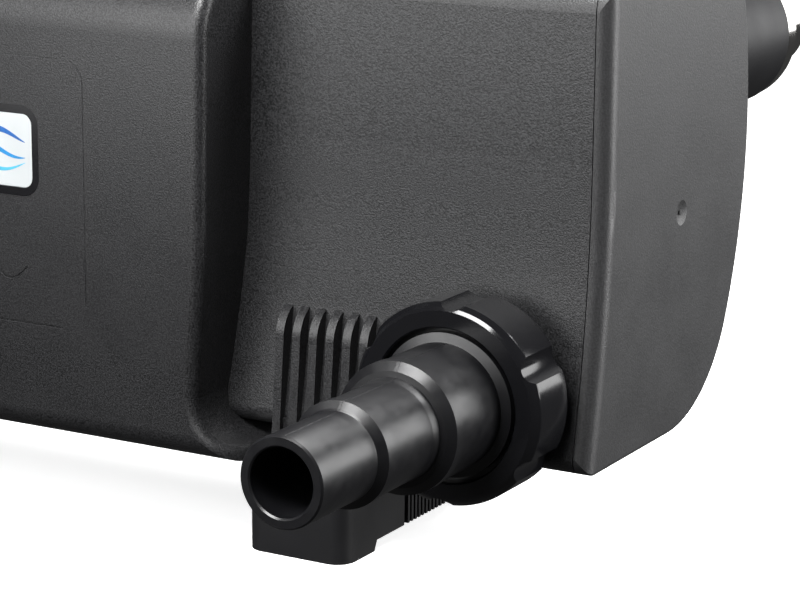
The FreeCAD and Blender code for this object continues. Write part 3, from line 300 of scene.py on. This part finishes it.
# moulded and pebbled: name, colour, roughness, grains per metre, depth, then gloss or speckle
MATERIALS = {
    "housing": pebbled("pebbled housing", CHARCOAL, 0.36, 1650.0, 0.12 * MM, 0.7),
    "cap": pebbled("pebbled end cap", CAP_GREY, 0.44, 1500.0, 0.07 * MM, 0.3),
    "foot": moulded("satin foot", SOOT, 0.42, 1500.0, 0.03 * MM),
    "port_black": moulded("satin port", JET, 0.50, 1500.0, 0.02 * MM, Specular_IOR_Level=0.25),
    "hose_tail": scuffed("hose tail", JET, 0.33),
    "gloss_black": moulded("gloss black", JET, 0.15, 700.0, 0.003 * MM, 0.02),
    "head_plastic": moulded("lamp head", SOOT, 0.38, 1500.0, 0.02 * MM),
    "steel": polished("polished steel", (0.66, 0.65, 0.63), 0.13, (1, 30, 1)),
    "screw_steel": polished("screw steel", (0.55, 0.55, 0.54), 0.28, (1, 1, 1)),
    "seal": rubber("black rubber"),
    "bezel": moulded("badge bezel", JET, 0.20, 900.0, 0.003 * MM, 0.02),
    "badge": moulded("badge silver", (0.60, 0.63, 0.64), 0.35, 900.0, 0.004 * MM, metallic=0.25),
    "coarse_foam": foam("coarse blue foam", (0.03, 0.10, 0.36), 260.0),
    "medium_foam": foam("medium red foam", (0.36, 0.05, 0.04), 380.0),
    "fine_foam": foam("fine green foam", (0.04, 0.24, 0.09), 560.0),
    "quartz": clear("quartz", (0.95, 0.97, 0.98), 0.03, 1.46),
    "lamp_glass": clear("lamp glass", (0.90, 0.93, 0.97), 0.05, 1.50),
    "lamp_ceramic": moulded("lamp ceramic", (0.78, 0.77, 0.73), 0.30, 800.0, 0.01 * MM),
    "rotor_white": moulded("natural white", (0.66, 0.65, 0.60), 0.45, 1200.0, 0.02 * MM,
                           Subsurface_Weight=0.2, Subsurface_Scale=0.002),
    "brush": moulded("nylon bristle", (0.03, 0.03, 0.034), 0.42, 2200.0, 0.004 * MM),
    "gear_tray": moulded("grey tray", (0.11, 0.11, 0.12), 0.5, 1200.0, 0.03 * MM),
    "ballast_case": moulded("ballast case", (0.72, 0.72, 0.69), 0.35, 900.0, 0.01 * MM),
    "terminals": moulded("terminal strip", IVORY, 0.42, 1200.0, 0.01 * MM),
}

for node, obj in frame["nodes"].items():
    obj.data.materials.clear()
    obj.data.materials.append(MATERIALS[slot_of[node]])


# ---- pieces that the CAD model leaves plain ----

def piece(name, body, slot, points, faces, material=None):
    """A mesh object that rides on a body, in the slot's finish unless it has its own."""
    mesh = bpy.data.meshes.new(name)
    mesh.from_pydata([tuple(p) for p in points], [], faces)
    mesh.update()
    edit = bmesh.new()
    edit.from_mesh(mesh)
    bmesh.ops.recalc_face_normals(edit, faces=edit.faces)
    edit.to_mesh(mesh)
    edit.free()
    obj = bpy.data.objects.new(name, mesh)
    bpy.context.scene.collection.objects.link(obj)
    mesh.materials.append(material or MATERIALS[slot])
    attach(obj, body)
    return obj


def loft(rings):
    """Points and faces of a skin over rings of equal length, with both ends capped."""
    count = len(rings[0])
    points = [p for ring in rings for p in ring]
    faces = []
    for i in range(len(rings) - 1):
        for j in range(count):
            k = (j + 1) % count
            faces.append((i * count + j, i * count + k, (i + 1) * count + k, (i + 1) * count + j))
    last = (len(rings) - 1) * count
    faces += [tuple(range(count)), tuple(last + j for j in range(count))]
    return points, faces


def join(parts):
    """One set of points and faces out of several."""
    points, faces = [], []
    for some_points, some_faces in parts:
        start = len(points)
        points += some_points
        faces += [tuple(start + i for i in face) for face in some_faces]
    return points, faces


def badge_waves():
    """Three printed wave bands across the silver plate."""
    low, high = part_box("badge_plate")
    centre_z = (low[2] + high[2]) / 2
    half = (high[0] - low[0]) / 2 - WAVE_MARGIN
    front, back = low[1] - PRINT_PROUD, low[1] + PRINT_ROOT
    corners = ((front, -1), (front, 1), (back, 1), (back, -1))
    for i, colour in enumerate(WAVE_BLUES):
        rings = []
        for s in range(WAVE_STEPS + 1):
            u = s / WAVE_STEPS
            x = half * (2 * u - 1)
            swing = WAVE_SWING * math.sin(2 * math.pi * (WAVE_TURNS * u + WAVE_LAG * i))
            z = centre_z + WAVE_PITCH * (1 - i) + swing
            thick = (WAVE_HALF - WAVE_THINNER * i) * max(WAVE_END, math.sin(math.pi * u) ** WAVE_TAPER)
            rings.append([(x, y, z + side * thick) for y, side in corners])
        points, faces = loft(rings)
        ink = printed(f"wave print {i + 1}", colour)
        piece(f"badge_wave_{i + 1}", "housing", "badge", points, faces, ink)


def mould_line(name, node, body, centre, angle, start, end):
    """A fine parting line along a turned piece whose axis runs along Y."""
    obj = frame["nodes"][node]
    out = Vector((math.sin(angle), 0, math.cos(angle)))
    across = Vector((math.cos(angle), 0, -math.sin(angle)))
    rings = []
    for s in range(PARTING_STEPS + 1):
        y = start + (end - start) * s / PARTING_STEPS
        origin = Vector((centre[0], y, centre[1])) + out * RAY_START
        hit, spot, _, _ = obj.ray_cast(origin, -out)
        if hit:
            proud = PARTING_PROUD * (0.6 + 0.4 * math.sin(s * 0.9) * math.sin(s * 0.37))
            root = spot - out * PARTING_HALF
            rings.append([root - across * PARTING_HALF, spot + out * proud, root + across * PARTING_HALF])
    points, faces = loft(rings)
    piece(name, body, slot_of[node], points, faces)


def tail_lines():
    """Parting lines on opposite sides of the hose tail, up to the union nut."""
    low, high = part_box("inlet_hose_tail")
    centre = ((low[0] + high[0]) / 2, (low[2] + high[2]) / 2)
    nut_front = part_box("inlet_union_nut")[0][1]
    for i, degrees in enumerate(PARTING_ANGLES):
        mould_line(f"tail_parting_line_{i + 1}", "inlet_hose_tail", "inlet_tail", centre,
                   math.radians(degrees), low[1] + TAIL_END_GAP, nut_front - NUT_GAP)


def around(axis, radius, angle, x):
    """A point round the lamp's axis, which runs along X."""
    return Vector((x, axis[1] + radius * math.sin(angle), axis[2] + radius * math.cos(angle)))


def bristle_strips():
    """Three strips of nylon bristle between the rotor's bars and the sleeve."""
    low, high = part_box("rotor_brushes")
    axis = joints["rotor_spin"]["pos_m"]
    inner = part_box("quartz_sleeve")[1][2] - axis[2] + SLEEVE_GAP
    outer = high[2] - axis[2]
    under = outer - STRIP_DEPTH
    back = ((outer, -STRIP_HALF), (outer, STRIP_HALF), (under, STRIP_HALF), (under, -STRIP_HALF))
    parts = []
    for strip in range(STRIPS):
        turn = 2 * math.pi * strip / STRIPS
        parts.append(loft([[around(axis, r, turn + a, x) for r, a in back] for x in (low[0], high[0])]))
        x = low[0] + BRISTLE_END
        while x < high[0] - BRISTLE_END:
            for row in BRISTLE_ROWS:
                lean_x = random.uniform(-BRISTLE_LEAN, BRISTLE_LEAN)
                lean = turn + row + random.uniform(-BRISTLE_TWIST, BRISTLE_TWIST)
                tip = inner + random.uniform(0.0, BRISTLE_SHORT)
                rings = []
                for r, half, shift, a in ((outer - BRISTLE_SET, BRISTLE_ROOT, 0.0, turn + row),
                                          (tip, BRISTLE_TIP, lean_x, lean)):
                    rings.append([around(axis, r, a + half / r * q, x + shift + half * p)
                                  for p, q in ((-1, -1), (1, -1), (1, 1), (-1, 1))])
                parts.append(loft(rings))
            x += BRISTLE_PITCH
    points, faces = join(parts)
    strips = piece("bristle_strips", "rotor", "brush", points, faces)
    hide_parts("rotor_brushes")


def foam_block(node, pore, depth):
    """A foam block with softened edges and an uneven open-cell skin."""
    source = frame["nodes"][node]
    obj = bpy.data.objects.new(node + "_block", source.data.copy())
    bpy.context.scene.collection.objects.link(obj)
    remesh = obj.modifiers.new("skin", "REMESH")
    remesh.mode = "VOXEL"
    remesh.voxel_size = FOAM_VOXEL
    soften = obj.modifiers.new("soften", "SMOOTH")
    soften.factor, soften.iterations = 0.5, 3
    skin = bpy.data.meshes.new_from_object(obj.evaluated_get(bpy.context.evaluated_depsgraph_get()))
    obj.modifiers.clear()
    obj.data = skin
    normals = [vertex.normal.copy() for vertex in skin.vertices]
    for vertex, normal in zip(skin.vertices, normals):
        large = max(0.0, noise.noise(vertex.co * pore))
        small = max(0.0, noise.noise(vertex.co * pore * FINE_PORES))
        vertex.co -= normal * depth * (large + FINE_DEPTH * small)
    for polygon in skin.polygons:
        polygon.use_smooth = True
    skin.materials.clear()
    skin.materials.append(MATERIALS[slot_of[node]])
    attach(obj, "housing")
    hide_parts(node)


def lamp_electrodes():
    """A coiled filament on two stiff wires at the base end of each lamp tube."""
    low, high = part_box("uv_lamp")
    radius = (high[2] - low[2]) / 2
    z = (low[2] + high[2]) / 2
    for i, y in enumerate((low[1] + radius, high[1] - radius)):
        wire_end = low[0] + WIRE_LEN
        path = [(low[0], y - COIL_HALF, z), (wire_end, y - COIL_HALF, z)]
        for s in range(COIL_TURNS * COIL_STEPS + 1):
            a = 2 * math.pi * s / COIL_STEPS
            along = COIL_HALF * (2 * s / (COIL_TURNS * COIL_STEPS) - 1)
            path.append((low[0] + COIL_AT + COIL_R * math.cos(a), y + along, z + COIL_R * math.sin(a)))
        path += [(wire_end, y + COIL_HALF, z), (low[0], y + COIL_HALF, z)]
        curve = bpy.data.curves.new(f"lamp_electrode_{i + 1}", "CURVE")
        curve.dimensions = "3D"
        curve.bevel_depth, curve.bevel_resolution = WIRE_R, 1
        spline = curve.splines.new("POLY")
        spline.points.add(len(path) - 1)
        for point, place in zip(spline.points, path):
            point.co = (*place, 1)
        curve.materials.append(MATERIALS["screw_steel"])
        obj = bpy.data.objects.new(curve.name, curve)
        bpy.context.scene.collection.objects.link(obj)
        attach(obj, "lamp_unit")


badge_waves()
tail_lines()
bristle_strips()
for node, pore, depth in FOAM_SKINS:
    foam_block(node, pore, depth)
lamp_electrodes()


# ---- camera ----

toward = Vector((-math.sin(AZIMUTH) * math.cos(ELEVATION), math.cos(AZIMUTH) * math.cos(ELEVATION),
                 -math.sin(ELEVATION)))
camera = bpy.data.objects.new("camera", bpy.data.cameras.new("camera"))
bpy.context.scene.collection.objects.link(camera)
camera.data.lens, camera.data.sensor_width = LENS, SENSOR
camera.location = CAMERA_AT
camera.rotation_mode = "QUATERNION"
camera.rotation_quaternion = toward.to_track_quat("-Z", "Y") @ Quaternion((0, 0, 1), ROLL)
bpy.context.scene.camera = camera


# ---- studio ----

def softbox(name, at, aim, width, height, power):
    """A rectangular light panel that the camera doesn't see."""
    light = bpy.data.lights.new(name, "AREA")
    light.shape = "RECTANGLE"
    light.size, light.size_y, light.energy = width, height, power
    obj = bpy.data.objects.new(name, light)
    obj.location = at
    obj.rotation_mode = "QUATERNION"
    obj.rotation_quaternion = (Vector(aim) - Vector(at)).to_track_quat("-Z", "Y")
    bpy.context.scene.collection.objects.link(obj)
    obj.visible_camera = False


def floor():
    """A pale floor, left out of reflections and bounced light."""
    mesh = bpy.data.meshes.new("floor")
    corners = [(x * FLOOR_HALF, y * FLOOR_HALF, 0) for x, y in ((-1, -1), (1, -1), (1, 1), (-1, 1))]
    mesh.from_pydata(corners, [], [(0, 1, 2, 3)])
    obj = bpy.data.objects.new("floor", mesh)
    bpy.context.scene.collection.objects.link(obj)
    look = Look("pale floor", (FLOOR_GREY,) * 3, 0.6, Emission_Color=(1, 1, 1, 1),
                Emission_Strength=FLOOR_GLOW)
    obj.data.materials.append(look.material)
    obj.visible_glossy = obj.visible_diffuse = False


def white_room():
    """A white background for the camera, and a dimmer even light for everything else."""
    world = bpy.data.worlds.new("room")
    world.use_nodes = True
    tree = world.node_tree
    background = tree.nodes["Background"]
    background.inputs["Color"].default_value = (1, 1, 1, 1)
    path = tree.nodes.new("ShaderNodeLightPath")
    swap = tree.nodes.new("ShaderNodeMapRange")
    swap.inputs["To Min"].default_value = ROOM_LIGHT
    swap.inputs["To Max"].default_value = ROOM_SEEN
    tree.links.new(path.outputs["Is Camera Ray"], swap.inputs["Value"])
    tree.links.new(swap.outputs["Result"], background.inputs["Strength"])
    bpy.context.scene.world = world


floor()
white_room()
for box in SOFTBOXES:
    softbox(*box)
bpy.context.scene.view_settings.view_transform = "Standard"
